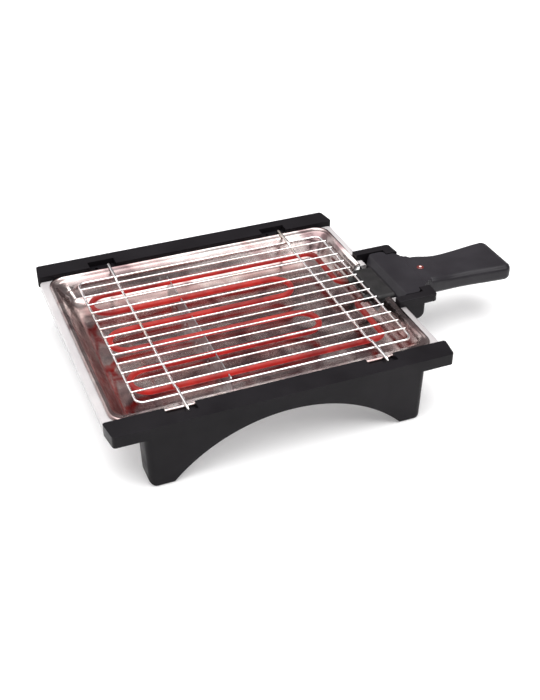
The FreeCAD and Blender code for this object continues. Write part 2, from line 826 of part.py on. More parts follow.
def grip_form(inset):
    """Grip as a loft along X, its end rolled in like a pebble."""
    cap_x = grip_end - grip_end_r
    count = 8
    step = (cap_x - grip_root_x) / count
    radius = grip_edge_r - inset
    long = [grip_section(grip_root_x + step * i, inset, 0, 0, radius) for i in range(count + 1)]
    cap = []
    for turn in (0, 18, 36, 54, 72, 84):
        angle = math.radians(turn)
        x = cap_x + (grip_end_r - inset) * math.sin(angle)
        drawn = 1 - math.cos(angle)
        cap.append(grip_section(x, inset, grip_end_r * drawn * 0.9, grip_end_roll * drawn,
                                radius - drawn * 3.0))
    return Part.makeLoft(long, True, False).fuse(Part.makeLoft(cap, True, False))


def housing_form(inset):
    plan = slab(housing_plan(inset), 60)
    side = Part.Face(housing_side(inset)).extrude(V(0, 2 * cradle_half, 0))
    wide = grip_section(cradle_out + 1, inset, -12.5, 0, 1.0)
    narrow = grip_section(grip_root_x, inset, 0, 0, grip_edge_r - inset)
    flare = Part.makeLoft([wide, narrow], True, True)
    flare = flare.fuse(box(housing_x - 1, cradle_out + 1, -cradle_half, cradle_half,
                           housing_bottom - 1, housing_top + 1))
    return plan.common(side).common(flare).fuse(grip_form(inset)).removeSplitter()


def handle_screw_places():
    return ((body_x - 12, 33.0), (body_x - 12, -33.0), (grip_waist_x - 6, 0.0), (grip_end - 22, 0.0))


def half_shell(outer, inner, low_z, high_z):
    """The part of the hollow form between two heights."""
    cut = box(housing_x - 5, grip_end + 5, -cradle_half, cradle_half, low_z, high_z)
    return outer.common(cut).cut(inner)


def handle_upper(outer, inner):
    shape = half_shell(outer, inner, split_z, housing_top + 5)
    for x, y in handle_screw_places():
        shape = shape.fuse(rod(boss_r - 0.5, V(x, y, split_z), Z_AXIS, 20).common(outer))
        shape = shape.cut(rod(screw_r + screw_clear, V(x, y, split_z - 1), Z_AXIS, 5))
    shape = shape.cut(sleeve_holes())
    return shape.cut(rod(lens_r + 0.1, V(lens_x, 0, split_z), Z_AXIS, 20))


def sleeve_holes():
    """Round holes in the housing's face, half in each shell, for the cold ends."""
    start_x = housing_x - 2
    holes = [rod(sleeve_r + sleeve_clear, V(start_x, side * cold_y, element_z), X_AXIS, 8)
             for side in (-1, 1)]
    return holes[0].fuse(holes[1])


def handle_lower(outer, inner):
    top = split_z - 0.1
    shape = half_shell(outer, inner, housing_bottom - 10, top)
    for x, y in handle_screw_places():
        shape = shape.fuse(rod(boss_r, V(x, y, top - 20), Z_AXIS, 20).common(outer))
        shape = shape.cut(rod(screw_r + screw_clear * 4, V(x, y, top - 21), Z_AXIS, 22))
        shape = shape.cut(rod(screw_head_r + 0.3, V(x, y, top - 25), Z_AXIS, 25 - screw_grip()))
    shape = shape.cut(sleeve_holes())
    shape = shape.cut(rod(gland_bore_r + gland_wall + 0.1, V(gland_x, 0, top - 20), Z_AXIS, 19))
    x, y = plunger_place()
    return shape.cut(rod(plunger_r + 0.3, V(x, y, housing_bottom - 2), Z_AXIS, 6))


def screw_grip():
    """Height of lower-shell plastic that a handle screw clamps."""
    return 4.5


def handle_screws():
    screws = [screw(V(x, y, split_z - 0.1 - screw_grip()), Z_AXIS, screw_grip() + 3.5)
              for x, y in handle_screw_places()]
    return Part.makeCompound(screws)


def pilot_lens():
    """Flanged window with a low dome."""
    top = grip_size(lens_x)[2]
    dome_r = 11.0
    body = rod(lens_r, V(lens_x, 0, top - housing_wall - 1.0), Z_AXIS, housing_wall + 2.6)
    dome = Part.makeSphere(dome_r, V(lens_x, 0, top + 1.4 - dome_r))
    collar = rod(lens_r + 1.5, V(lens_x, 0, top - housing_wall - 1.9), Z_AXIS, 1.2)
    return body.common(dome).fuse(collar).removeSplitter()


def pilot_lamp():
    """Small neon lamp just under the lens."""
    top = grip_size(lens_x)[2] - housing_wall - 2.2
    tube = rod(2.5, V(lens_x, 0, top - 10), Z_AXIS, 7.5)
    return tube.fuse(Part.makeSphere(2.5, V(lens_x, 0, top - 2.5))).removeSplitter()


def plunger_place():
    return plate_x() + 7.0, cold_y / 2 + 1


def switch_block():
    x, y = plunger_place()
    block = box(x - 5, x + 11, y - 3.2, y + 3.2, housing_bottom + housing_wall + 0.7, split_z + 4)
    return block.cut(rod(plunger_r + 0.3, V(x, y, housing_bottom), Z_AXIS, 9.5))


def safety_plunger():
    """Pin under the switch; seated, its tip is level with the housing's bottom."""
    x, y = plunger_place()
    return rod(plunger_r, V(x, y, housing_bottom), Z_AXIS, 8.7)


def plate_x():
    return housing_x + 8.0


def element_plate():
    """Steel plate inside the housing's face that carries the cold ends."""
    x = plate_x()
    low = housing_bottom + housing_wall + 0.1
    plate = box(x, x + 1.2, -cold_y - 12, cold_y + 12, low, element_z + sleeve_r + 2)
    for side in (-1, 1):
        plate = plate.cut(rod(element_r + tube_clear, V(x - 1, side * cold_y, element_z), X_AXIS, 4))
    return plate


def thermal_cutout():
    """Bimetal limiter: a disc on the plate with two tags."""
    x = plate_x() + 1.2
    can = rod(3.4, V(x, 0, element_z), X_AXIS, 3.0)
    base = rod(4.0, V(x + 3.0, 0, element_z), X_AXIS, 4.0)
    tags = box(x + 7.0, x + 12.0, -3.2, -0.9, element_z - 0.4, element_z + 0.4)
    other = box(x + 7.0, x + 12.0, 0.9, 3.2, element_z - 0.4, element_z + 0.4)
    return can.fuse([base, tags, other]).removeSplitter()


def element_bushes():
    start = element_end() + 0.1
    bushes = []
    for side in (-1, 1):
        at = V(start, side * cold_y, element_z)
        bushes.append(rod(element_r, at, X_AXIS, 4.0).cut(rod(1.3, at, X_AXIS, 4.0)))
    return Part.makeCompound(bushes)


def block_x():
    return body_x + 1.0


def element_pins():
    start = element_end() + 0.05
    length = block_x() + 8 - start
    pins = [rod(1.25, V(start, side * cold_y, element_z), X_AXIS, length) for side in (-1, 1)]
    return Part.makeCompound(pins)


def terminal_block():
    """Ceramic block between the element pins and the mains lead."""
    half = cold_y + 5
    low = housing_bottom + housing_wall + 0.1
    block = box(block_x(), block_x() + 14, -half, half, low, element_z + 6)
    for y in (-cold_y, cold_y):
        block = block.cut(rod(1.3, V(block_x() - 1, y, element_z), X_AXIS, 10))
        block = block.cut(rod(1.8, V(block_x() + 5, y, element_z), Z_AXIS, 8))
    return block


def terminal_clamps():
    """Clamp screws that pinch the pins in the block."""
    clamps = []
    for y in (-cold_y, cold_y):
        clamps.append(rod(1.7, V(block_x() + 5, y, element_z + 1.3), Z_AXIS, 4.0))
    return Part.makeCompound(clamps)


def lead_wires():
    """Insulated leads: block to lamp, limiter, switch and mains bush."""
    lead_r = 1.1
    z = element_z + 3.0
    low = grip_size(gland_x)[1] + 1
    over = split_z + 6.3
    back_x = block_x() + 14
    x_switch, y_switch = plunger_place()
    runs = [
        [V(back_x, 8, z), V(gland_x - 4, 8, z), V(gland_x, 1.6, z - 3), V(gland_x, 1.6, low)],
        [V(back_x, -8, z), V(gland_x - 4, -8, z), V(gland_x, -1.6, z - 3), V(gland_x, -1.6, low)],
        [V(x_switch + 8, y_switch, split_z + 4), V(x_switch + 8, y_switch, over),
         V(block_x() + 4, y_switch, over), V(block_x() + 4, y_switch, z + 3)],
    ]
    return Part.makeCompound([wire_rod(route(points, 2.0), lead_r) for points in runs])


def cord_gland():
    """Bush in the underside of the neck, where the mains lead comes out."""
    low = min(grip_size(gland_x + side * gland_flange_r)[1] for side in (-1, 1))
    neck = rod(gland_bore_r + gland_wall, V(gland_x, 0, low - 1), Z_AXIS, housing_wall + 3)
    flange = rod(gland_flange_r, V(gland_x, 0, low - 3.2), Z_AXIS, 2.9)
    body = Part.makeCone(gland_bore_r + gland_wall * 0.8, gland_bore_r + gland_wall + 1.0, 6.0,
                         V(gland_x, 0, low - 8.2), Z_AXIS)
    shape = neck.fuse([flange, body])
    return shape.cut(rod(gland_bore_r, V(gland_x, 0, low - 20), Z_AXIS, 40)).removeSplitter()


def main():
    os.makedirs("parts", exist_ok=True)
    front = side_frame()
    cover = inner_cover()
    fixings = frame_screws()
    cover_fixings = cover_screws()
    write("front_side_frame", front)
    write("back_side_frame", mirrored(front))
    write("front_inner_cover", cover)
    write("back_inner_cover", mirrored(cover))
    write("front_frame_screws", fixings)
    write("back_frame_screws", mirrored(fixings))
    write("front_cover_screws", cover_fixings)
    write("back_cover_screws", mirrored(cover_fixings))
    for side, word in ((-1, "left"), (1, "right")):
        pad = foot_pad(side)
        write("foot_front_" + word, pad)
        write("foot_back_" + word, mirrored(pad))
    write("base_tub", base_tub())
    write("drip_pan", drip_pan())
    write("rack_frame", rack_frame())
    write("rack_rods", rack_rods())
    write("rack_supports", rack_supports())
    write("heating_element", heating_element())
    write("cold_sleeves", cold_sleeves())
    write("element_shroud", element_shroud())
    write("element_comb", element_comb())
    write("cradle", cradle())
    write("cradle_screws", cradle_screws())
    outer = housing_form(0)
    inner = housing_form(housing_wall)
    write("handle_upper", handle_upper(outer, inner))
    write("handle_lower", handle_lower(outer, inner))
    write("handle_screws", handle_screws())
    write("pilot_lens", pilot_lens())
    write("pilot_lamp", pilot_lamp())
    write("safety_switch", switch_block())
    write("safety_plunger", safety_plunger())
    write("element_plate", element_plate())
    write("thermal_cutout", thermal_cutout())
    write("element_bushes", element_bushes())
    write("element_pins", element_pins())
    write("terminal_block", terminal_block())
    write("terminal_clamps", terminal_clamps())
    write("lead_wires", lead_wires())
    write("cord_gland", cord_gland())


main()
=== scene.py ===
import bpy
import bmesh
import json
import math
from mathutils import Matrix, Vector


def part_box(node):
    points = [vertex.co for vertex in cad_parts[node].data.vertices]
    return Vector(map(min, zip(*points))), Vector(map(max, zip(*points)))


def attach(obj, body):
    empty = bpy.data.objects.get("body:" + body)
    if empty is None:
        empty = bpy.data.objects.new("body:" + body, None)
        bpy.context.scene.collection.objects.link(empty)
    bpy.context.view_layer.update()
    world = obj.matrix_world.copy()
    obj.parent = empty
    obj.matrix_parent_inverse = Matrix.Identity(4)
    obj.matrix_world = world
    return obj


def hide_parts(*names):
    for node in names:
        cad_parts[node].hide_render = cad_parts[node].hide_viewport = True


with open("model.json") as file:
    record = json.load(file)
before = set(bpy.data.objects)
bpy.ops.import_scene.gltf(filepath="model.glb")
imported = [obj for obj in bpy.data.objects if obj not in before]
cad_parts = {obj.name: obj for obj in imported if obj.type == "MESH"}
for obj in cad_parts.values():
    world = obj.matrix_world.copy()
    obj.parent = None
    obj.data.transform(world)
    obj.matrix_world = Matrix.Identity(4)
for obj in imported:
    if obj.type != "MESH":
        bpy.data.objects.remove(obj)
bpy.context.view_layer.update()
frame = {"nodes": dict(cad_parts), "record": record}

mm = 0.001
railLow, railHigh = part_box("front_side_frame")
middleX = (railLow.x + railHigh.x) / 2  # the pieces are drawn about the middle of the rails
near = 0.01  # mm, how far a point may miss a plane and still count as on it
bodyOfNode = {node: body for body, nodes in frame["record"]["behaviour"]["bodies"].items()
              for node in nodes}


def hexColor(code):
    channels = [int(code[i:i + 2], 16) / 255 for i in (1, 3, 5)]
    linear = [c / 12.92 if c <= 0.04045 else ((c + 0.055) / 1.055) ** 2.4 for c in channels]
    return (*linear, 1.0)


def addNode(tree, kind, settings=None, links=None):
    node = tree.nodes.new(kind)
    for key, value in (settings or {}).items():
        if isinstance(key, int) or key in node.inputs:
            node.inputs[key].default_value = value
        else:
            setattr(node, key, value)
    for key, source in (links or {}).items():
        tree.links.new(source, node.inputs[key])
    return node


def startMaterial(name, shaderSettings):
    material = bpy.data.materials.new(name)
    material.use_nodes = True
    tree = material.node_tree
    tree.nodes.clear()
    place = addNode(tree, "ShaderNodeTexCoord").outputs["Object"]
    shader = addNode(tree, "ShaderNodeBsdfPrincipled", shaderSettings)
    addNode(tree, "ShaderNodeOutputMaterial", links={"Surface": shader.outputs["BSDF"]})
    return material, tree, place, shader


def noiseAt(tree, place, sizeMm, detail=2.0, stretch=None, swirl=0.0):
    if stretch:
        place = addNode(tree, "ShaderNodeMapping", {"Scale": stretch}, {"Vector": place}).outputs[0]
    return addNode(tree, "ShaderNodeTexNoise", {"Scale": 1 / (sizeMm * mm), "Detail": detail,
                   "Distortion": swirl}, {"Vector": place}).outputs["Fac"]


def mapTo(tree, value, low, high, fromLow=0.35, fromHigh=0.65):
    return addNode(tree, "ShaderNodeMapRange", {"From Min": fromLow, "From Max": fromHigh,
                   "To Min": low, "To Max": high}, {"Value": value}).outputs["Result"]


def mixColors(tree, factor, first, second):
    node = addNode(tree, "ShaderNodeMix", {"data_type": "RGBA"}, {0: factor})
    for key, color in ((6, first), (7, second)):
        if isinstance(color, str):
            node.inputs[key].default_value = hexColor(color)
        else:
            tree.links.new(color, node.inputs[key])
    return node.outputs[2]


def bumpUnder(tree, shader, height, depthMm, strength):
    bump = addNode(tree, "ShaderNodeBump", {"Distance": depthMm * mm, "Strength": strength},
                   {"Height": height})
    tree.links.new(bump.outputs["Normal"], shader.inputs["Normal"])


def plainFinish(look):
    material, tree, place, shader = startMaterial(look["name"], look["shader"])
    patch = mapTo(tree, noiseAt(tree, place, look["patchMm"], 3.0), 0, 1)
    tree.links.new(mixColors(tree, patch, *look["colors"]), shader.inputs["Base Color"])
    smudge = noiseAt(tree, place, look["smudgeMm"], 4.0)
    tree.links.new(mapTo(tree, smudge, *look["rough"]), shader.inputs["Roughness"])
    grain = noiseAt(tree, place, look["grainMm"], 2.0, look.get("stretch"))
    bumpUnder(tree, shader, grain, look["grainDeepMm"], look["grainStrength"])
    return material


# PBT, moulded in a spark-eroded tool: near black with a faint plum cast, a fine even grain
# that keeps the sheen weak, and slightly smoother patches where hands touch. The real grain
# is about 0.2 mm and is drawn at 0.9 mm so that it shows.
mouldedPbt = plainFinish({
    "name": "mouldedPbtFineGrain",
    "shader": {"IOR": 1.5, "Metallic": 0.0, "Specular IOR Level": 0.12},
    "colors": ("#110f12", "#19171a"), "patchMm": 70, "rough": (0.34, 0.48), "smudgeMm": 22,
    "grainMm": 0.9, "grainDeepMm": 0.05, "grainStrength": 0.5})

# The same moulding in the grip: a touch smoother from the polished tool insert.
# Its colour, lighter than the side frames', is painted light standing in for the light on its top.
polishedPbt = plainFinish({
    "name": "mouldedPbtSatin", "shader": {"IOR": 1.5, "Metallic": 0.0, "Specular IOR Level": 0.24},
    "colors": ("#201e22", "#29272b"), "patchMm": 50, "rough": (0.28, 0.4), "smudgeMm": 18,
    "grainMm": 1.2, "grainDeepMm": 0.03, "grainStrength": 0.35})

# Zinc-plated steel: bluish grey with faint cloudy spangle.
zincSteel = plainFinish({
    "name": "zincPlatedSteel", "shader": {"Metallic": 1.0},
    "colors": ("#a9acb0", "#c3c4c4"), "patchMm": 4, "rough": (0.28, 0.42), "smudgeMm": 6,
    "grainMm": 1.0, "grainDeepMm": 0.01, "grainStrength": 0.4})

# Brass turned on a lathe: warm yellow with darker tarnish in patches.
turnedBrass = plainFinish({
    "name": "turnedBrass", "shader": {"Metallic": 1.0},
    "colors": ("#b08d48", "#d3b56c"), "patchMm": 5, "rough": (0.22, 0.36), "smudgeMm": 5,
    "grainMm": 0.8, "grainDeepMm": 0.01, "grainStrength": 0.3})

# Steatite, pressed and fired without glaze: chalky off-white with a dry bite.
firedSteatite = plainFinish({
    "name": "firedSteatite", "shader": {"IOR": 1.6, "Metallic": 0.0},
    "colors": ("#ddd6c6", "#e9e4d8"), "patchMm": 7, "rough": (0.6, 0.75), "smudgeMm": 5,
    "grainMm": 0.7, "grainDeepMm": 0.06, "grainStrength": 0.6})

# Natural-black rubber, moulded: matt, slightly dusty.
mouldedRubber = plainFinish({
    "name": "mouldedRubber", "shader": {"IOR": 1.52, "Metallic": 0.0},
    "colors": ("#141415", "#1e1e1f"), "patchMm": 9, "rough": (0.7, 0.85), "smudgeMm": 8,
    "grainMm": 0.8, "grainDeepMm": 0.04, "grainStrength": 0.5})

# Silicone-coated lead: off-white with a dull sheen.
siliconeLead = plainFinish({
    "name": "extrudedSilicone", "shader": {"IOR": 1.43, "Metallic": 0.0},
    "colors": ("#cfcabf", "#dedad0"), "patchMm": 6, "rough": (0.45, 0.6), "smudgeMm": 6,
    "grainMm": 0.9, "grainDeepMm": 0.02, "grainStrength": 0.3})

# Phenolic, compression moulded: brown-black and fairly glossy.
mouldedPhenolic = plainFinish({
    "name": "mouldedPhenolic", "shader": {"IOR": 1.55, "Metallic": 0.0},
    "colors": ("#17120f", "#211a16"), "patchMm": 8, "rough": (0.2, 0.34), "smudgeMm": 6,
    "grainMm": 1.0, "grainDeepMm": 0.02, "grainStrength": 0.3})

# Braided glass-fibre sleeve, saturated black: a fine woven rib over a matt ground.
braidedSleeve = plainFinish({
    "name": "braidedGlassSleeve", "shader": {"IOR": 1.5, "Metallic": 0.0},
    "colors": ("#151516", "#252526"), "patchMm": 3, "rough": (0.55, 0.75), "smudgeMm": 4,
    "grainMm": 1.1, "grainDeepMm": 0.15, "grainStrength": 0.8, "stretch": (1.0, 0.35, 0.35)})

# Stove paint on thin steel, sprayed and baked: dull soft black, a little chalky in patches.
bakedStovePaint = plainFinish({
    "name": "bakedStovePaint", "shader": {"IOR": 1.5, "Metallic": 0.0, "Specular IOR Level": 0.35},
    "colors": ("#121112", "#1e1c1d"), "patchMm": 14, "rough": (0.45, 0.6), "smudgeMm": 8,
    "grainMm": 1.0, "grainDeepMm": 0.04, "grainStrength": 0.5})

# Vitreous enamel on steel, sprayed and fired: very pale warm grey, wet gloss broken by a
# slight orange peel.
firedEnamel = plainFinish({
    "name": "firedEnamelPaleGrey", "shader": {"IOR": 1.55, "Metallic": 0.0, "Coat Weight": 0.4,
                                             "Coat Roughness": 0.12},
    "colors": ("#aeaaab", "#bdb9b9"), "patchMm": 60, "rough": (0.28, 0.4), "smudgeMm": 25,
    "grainMm": 3.0, "grainDeepMm": 0.03, "grainStrength": 0.35})

# Steel wire, nickel and chrome plated: white mirror gloss, a faint straw heat tint in places,
# and tiny waves left from drawing.
chromeLook = {
    "colors": ("#f4f3f3", "#d9cbb6"), "tintMm": 35, "tintMost": 0.75, "rough": (0.16, 0.28),
    "smudgeMm": 9, "waveMm": 2.5, "waveDeepMm": 0.03, "waveStrength": 0.4}


def chromedWireFinish():
    look = chromeLook
    material, tree, place, shader = startMaterial("brightChromePlate", {"Metallic": 1.0})
    heat = noiseAt(tree, place, look["tintMm"], 3.0)
    tint = mapTo(tree, heat, 0, look["tintMost"], 0.5, 0.75)
    tree.links.new(mixColors(tree, tint, *look["colors"]), shader.inputs["Base Color"])
    smudge = noiseAt(tree, place, look["smudgeMm"], 3.0)
    tree.links.new(mapTo(tree, smudge, *look["rough"]), shader.inputs["Roughness"])
    wave = noiseAt(tree, place, look["waveMm"], 2.0)
    bumpUnder(tree, shader, wave, look["waveDeepMm"], look["waveStrength"])
    return material


# Stainless sheet, deep drawn and bright polished: a rosy grey mirror with plum-brown heat tint.
# Its dark and pale clouds and streaks, drawn out into swirls, are painted reflection of the room
# and the glowing element. The slack in the sheet bends what it reflects, and faint polishing
# streaks run along it.
drawnLook = {
    "darkColor": "#766263", "paleColor": "#bfb5b2", "heatTintAndReflectionColor": "#a58f8d", "cloudMm": 95,
    "cloudSwirl": 1.6, "streakMm": 60, "streakSwirl": 2.2, "polishMm": 26, "rough": (0.13, 0.27),
    "slackMm": 80, "slackDeepMm": 2.2, "slackStrength": 0.7}


def drawnSteelFinish():
    look = drawnLook
    material, tree, place, shader = startMaterial("brightDrawnStainless", {"Metallic": 1.0})
    # painted reflection: dark and pale clouds swirled like the mirrored room
    cloud = noiseAt(tree, place, look["cloudMm"], 1.5, None, look["cloudSwirl"])
    ground = mixColors(tree, mapTo(tree, cloud, 0, 1, 0.38, 0.6), look["darkColor"],
                       look["paleColor"])
    # streaks of heat tint mixed with painted reflection
    streak = noiseAt(tree, place, look["streakMm"], 1.0, (1.0, 0.6, 1.0), look["streakSwirl"])
    tree.links.new(mixColors(tree, mapTo(tree, streak, 0, 1, 0.44, 0.66), ground,
                             look["heatTintAndReflectionColor"]), shader.inputs["Base Color"])
    polish = noiseAt(tree, place, look["polishMm"], 2.0, (0.3, 5.0, 1.0))
    tree.links.new(mapTo(tree, polish, *look["rough"]), shader.inputs["Roughness"])
    slack = noiseAt(tree, place, look["slackMm"], 0.5, None, 0.6)
    bumpUnder(tree, shader, slack, look["slackDeepMm"], look["slackStrength"])
    return material


# Incoloy sheath, oxidised: brown-red scale that glows crimson along its hot length, brighter
# in patches, and goes dark towards the cold ends.
sheathLook = {
    "scaleColors": ("#3a1510", "#5c1d14"), "glowColors": ("#9c0b12", "#d6201c"), "glow": 0.65,
    "patchMm": 28, "hotTo": 138, "coldFrom": 160, "rough": (0.45, 0.65), "roughMm": 5,
    "flakeMm": 1.4, "flakeDeepMm": 0.06, "flakeStrength": 0.6}


def glowingSheathFinish():
    look = sheathLook
    material, tree, place, shader = startMaterial("oxidisedIncoloyHot", {
        "Metallic": 0.2, "Emission Strength": look["glow"]})
    patch = mapTo(tree, noiseAt(tree, place, look["patchMm"], 3.0), 0, 1)
    tree.links.new(mixColors(tree, patch, *look["scaleColors"]), shader.inputs["Base Color"])
    along = addNode(tree, "ShaderNodeSeparateXYZ", links={"Vector": place}).outputs["X"]
    cold = mapTo(tree, along, 0, 1, middleX + look["hotTo"] * mm, middleX + look["coldFrom"] * mm)
    hot = mixColors(tree, patch, *look["glowColors"])
    tree.links.new(mixColors(tree, cold, hot, "#000000"), shader.inputs["Emission Color"])
    dry = noiseAt(tree, place, look["roughMm"], 3.0)
    tree.links.new(mapTo(tree, dry, *look["rough"]), shader.inputs["Roughness"])
    flake = noiseAt(tree, place, look["flakeMm"], 3.0)
    bumpUnder(tree, shader, flake, look["flakeDeepMm"], look["flakeStrength"])
    return material


# Clear red polycarbonate over a lamp: dark red rim, its nearly white middle a painted highlight.
lensLook = {
    "glowColors": ("#fff1ea", "#4a0d0b"), "colors": ("#ffb3a4", "#4f1512"), "glow": 1.1,
    "brightMm": 0.8, "rimMm": 2.0, "waveMm": 1.5, "waveDeepMm": 0.01, "waveStrength": 0.2}


def litLensFinish():
    look = lensLook
    material, tree, place, shader = startMaterial("redPolycarbonateLit", {
        "IOR": 1.58, "Roughness": 0.12, "Transmission Weight": 0.2,
        "Emission Strength": look["glow"]})
    low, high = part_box("pilot_lens")
    centre = (low + high) / 2
    centre.z = high.z
    away = addNode(tree, "ShaderNodeVectorMath", {"operation": "DISTANCE", 1: centre},
                   {0: place}).outputs["Value"]
    # the nearly white middle is a painted highlight, in the glow and in the base colour
    rim = mapTo(tree, away, 0, 1, look["brightMm"] * mm, look["rimMm"] * mm)
    tree.links.new(mixColors(tree, rim, *look["glowColors"]), shader.inputs["Emission Color"])
    tree.links.new(mixColors(tree, rim, *look["colors"]), shader.inputs["Base Color"])
    wave = noiseAt(tree, place, look["waveMm"], 1.0)
    bumpUnder(tree, shader, wave, look["waveDeepMm"], look["waveStrength"])
    return material


# Small neon lamp: clear glass with an orange glow inside.
lampLook = {
    "glowColors": ("#ff7a3c", "#ffb27d"), "colors": ("#ffd0b0", "#ffe2cf"), "glow": 1.0,
    "patchMm": 3}


def lampGlassFinish():
    look = lampLook
    material, tree, place, shader = startMaterial("neonLampGlass", {
        "IOR": 1.47, "Transmission Weight": 0.6, "Roughness": 0.08,
        "Emission Strength": look["glow"]})
    patch = mapTo(tree, noiseAt(tree, place, look["patchMm"], 1.0), 0, 1)
    tree.links.new(mixColors(tree, patch, *look["glowColors"]), shader.inputs["Emission Color"])
    tree.links.new(mixColors(tree, patch, *look["colors"]), shader.inputs["Base Color"])
    return material


chromedWire = chromedWireFinish()
drawnSteel = drawnSteelFinish()
glowingSheath = glowingSheathFinish()
litLens = litLensFinish()
lampGlass = lampGlassFinish()
print("finishes made")


def intoPlace(bm):
    # from millimetres about the middle of the rails to metres where the piece belongs
    bmesh.ops.scale(bm, vec=(mm, mm, mm), verts=bm.verts)
    bmesh.ops.translate(bm, vec=(middleX, 0, 0), verts=bm.verts)


def finishPiece(bm, name, material, nodes, bevelMm=0, sharpAngle=35, fixNormals=True):
    if fixNormals:
        bmesh.ops.recalc_face_normals(bm, faces=bm.faces)
    mesh = bpy.data.meshes.new(name)
    bm.to_mesh(mesh)
    bm.free()
    mesh.materials.append(material)
    for face in mesh.polygons:
        face.use_smooth = True
    mesh.set_sharp_from_angle(angle=math.radians(sharpAngle))
    piece = bpy.data.objects.new(name, mesh)
    bpy.context.scene.collection.objects.link(piece)
    if bevelMm:
        edge = piece.modifiers.new("edgeRounding", "BEVEL")
        edge.width = bevelMm * mm
        edge.segments = 3
        edge.limit_method = "ANGLE"
        edge.angle_limit = math.radians(sharpAngle)
        edge.harden_normals = True
    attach(piece, bodyOfNode[nodes[0]])
    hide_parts(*nodes)
    return piece


def softenedCopy(node, material, bevelMm, sharpAngle=35, mergeMm=0.004, flatAngle=0.8):
    # the piece as designed, its loose triangles joined into flat faces and its edges rounded
    bm = bmesh.new()
    bm.from_mesh(frame["nodes"][node].data)
    bmesh.ops.remove_doubles(bm, verts=bm.verts, dist=mergeMm * mm)
    bmesh.ops.dissolve_limit(bm, angle_limit=math.radians(flatAngle), verts=bm.verts,
                             use_dissolve_boundaries=False, edges=bm.edges, delimit={"NORMAL"})
    words = node.split("_")
    name = words[0] + "".join(word.capitalize() for word in words[1:])
    finishPiece(bm, name, material, [node], bevelMm, sharpAngle, False)


def ringPoint(place, ring, cornerSteps):
    halfX, halfY, radius, z = ring
    corner, step = divmod(place, cornerSteps + 1)
    angle = math.radians(90 * corner + 90 * step / cornerSteps)
    signX = (1, -1, -1, 1)[corner]
    signY = (1, 1, -1, -1)[corner]
    return Vector((signX * (halfX - radius) + radius * math.cos(angle),
                   signY * (halfY - radius) + radius * math.sin(angle), z))


def growRings(rings, cornerSteps=8):
    # a rounded rectangle, closed at its first ring and extruded from ring to ring
    bm = bmesh.new()
    mark = bm.verts.layers.int.new("place")
    start = bmesh.ops.create_circle(bm, cap_ends=True, radius=1, segments=4 * (cornerSteps + 1))
    for index, vert in enumerate(start["verts"]):
        vert[mark] = index
        vert.co = ringPoint(index, rings[0], cornerSteps)
    edges = list(bm.edges)
    for ring in rings[1:]:
        grown = bmesh.ops.extrude_edge_only(bm, edges=edges)["geom"]
        edges = [item for item in grown if isinstance(item, bmesh.types.BMEdge)]
        for vert in [item for item in grown if isinstance(item, bmesh.types.BMVert)]:
            vert.co = ringPoint(vert[mark], ring, cornerSteps)
    return bm


def cutWindow(bm, lowX, halfY, lowZ):
    # opens one end wall between two upright cuts and above a level one
    for point, normal in (((0, halfY, 0), (0, 1, 0)), ((0, -halfY, 0), (0, 1, 0)),
                          ((0, 0, lowZ), (0, 0, 1))):
        bmesh.ops.bisect_plane(bm, geom=bm.verts[:] + bm.edges[:] + bm.faces[:], dist=1e-5,
                               plane_co=point, plane_no=normal)
    gone = []
    for face in bm.faces:
        centre = face.calc_center_median()
        if centre.x > lowX and abs(centre.y) < halfY and centre.z > lowZ:
            gone.append(face)
    bmesh.ops.delete(bm, geom=gone, context="FACES")


def thicken(piece, thickMm):
    wall = piece.modifiers.new("sheet", "SOLIDIFY")
    wall.thickness = thickMm * mm
    wall.offset = 1
    wall.use_even_offset = True


def roundedPath(points, bendRadius, stepDegrees=12):
    path = [points[0]]
    for before, corner, after in zip(points, points[1:], points[2:]):
        toBefore = (before - corner).normalized()
        toAfter = (after - corner).normalized()
        half = toBefore.angle(toAfter) / 2
        turn = math.pi - 2 * half
        reach = bendRadius / math.tan(half)
        centre = corner + (toBefore + toAfter).normalized() * (bendRadius / math.sin(half))
        arm = corner + toBefore * reach - centre
        axis = toAfter.cross(toBefore).normalized()
        steps = max(3, math.ceil(math.degrees(turn) / stepDegrees))
        for i in range(steps + 1):
            path.append(centre + Matrix.Rotation(turn * i / steps, 3, axis) @ arm)
    path.append(points[-1])
    return path


def wireMesh(paths, radiusMm, closed=False):
    # a round wire swept along each path
    curve = bpy.data.curves.new("wirePath", "CURVE")
    curve.dimensions = "3D"
    curve.bevel_depth = radiusMm
    curve.bevel_resolution = 5
    curve.use_fill_caps = True
    for path in paths:
        line = curve.splines.new("POLY")
        line.points.add(len(path) - 1)
        line.use_cyclic_u = closed
        for spot, place in zip(line.points, path):
            spot.co = (*place, 1.0)
    holder = bpy.data.objects.new("wireHolder", curve)
    bpy.context.scene.collection.objects.link(holder)
    depsgraph = bpy.context.evaluated_depsgraph_get()
    mesh = bpy.data.meshes.new_from_object(holder.evaluated_get(depsgraph))
    bpy.data.objects.remove(holder)
    bpy.data.curves.remove(curve)
    bm = bmesh.new()
    bm.from_mesh(mesh)
    bpy.data.meshes.remove(mesh)
    return bm


frameLook = {
    "railHalf": 200, "endSlant": 4, "innerY": 154, "outerY": 182, "top": 80, "under": 66,
    "cornerMm": 3.5, "notchMiddle": 116.5, "notchHalf": 17, "notchReach": 13.5, "notchFloor": 73,
    "seatPitch": 15, "seatY": 161, "seatRadius": 2.3,
    "legHalf": 163, "legTaper": 2, "legSetback": 1, "legCornerMm": 8, "footIn": 133.8,
    "footZ": 1.5, "archTop": 59, "archSteps": 40, "wall": 3, "coverDeep": 3.0,
    "edgeMm": 0.9, "coverEdgeMm": 0.4, "screwEdgeMm": 0.35}


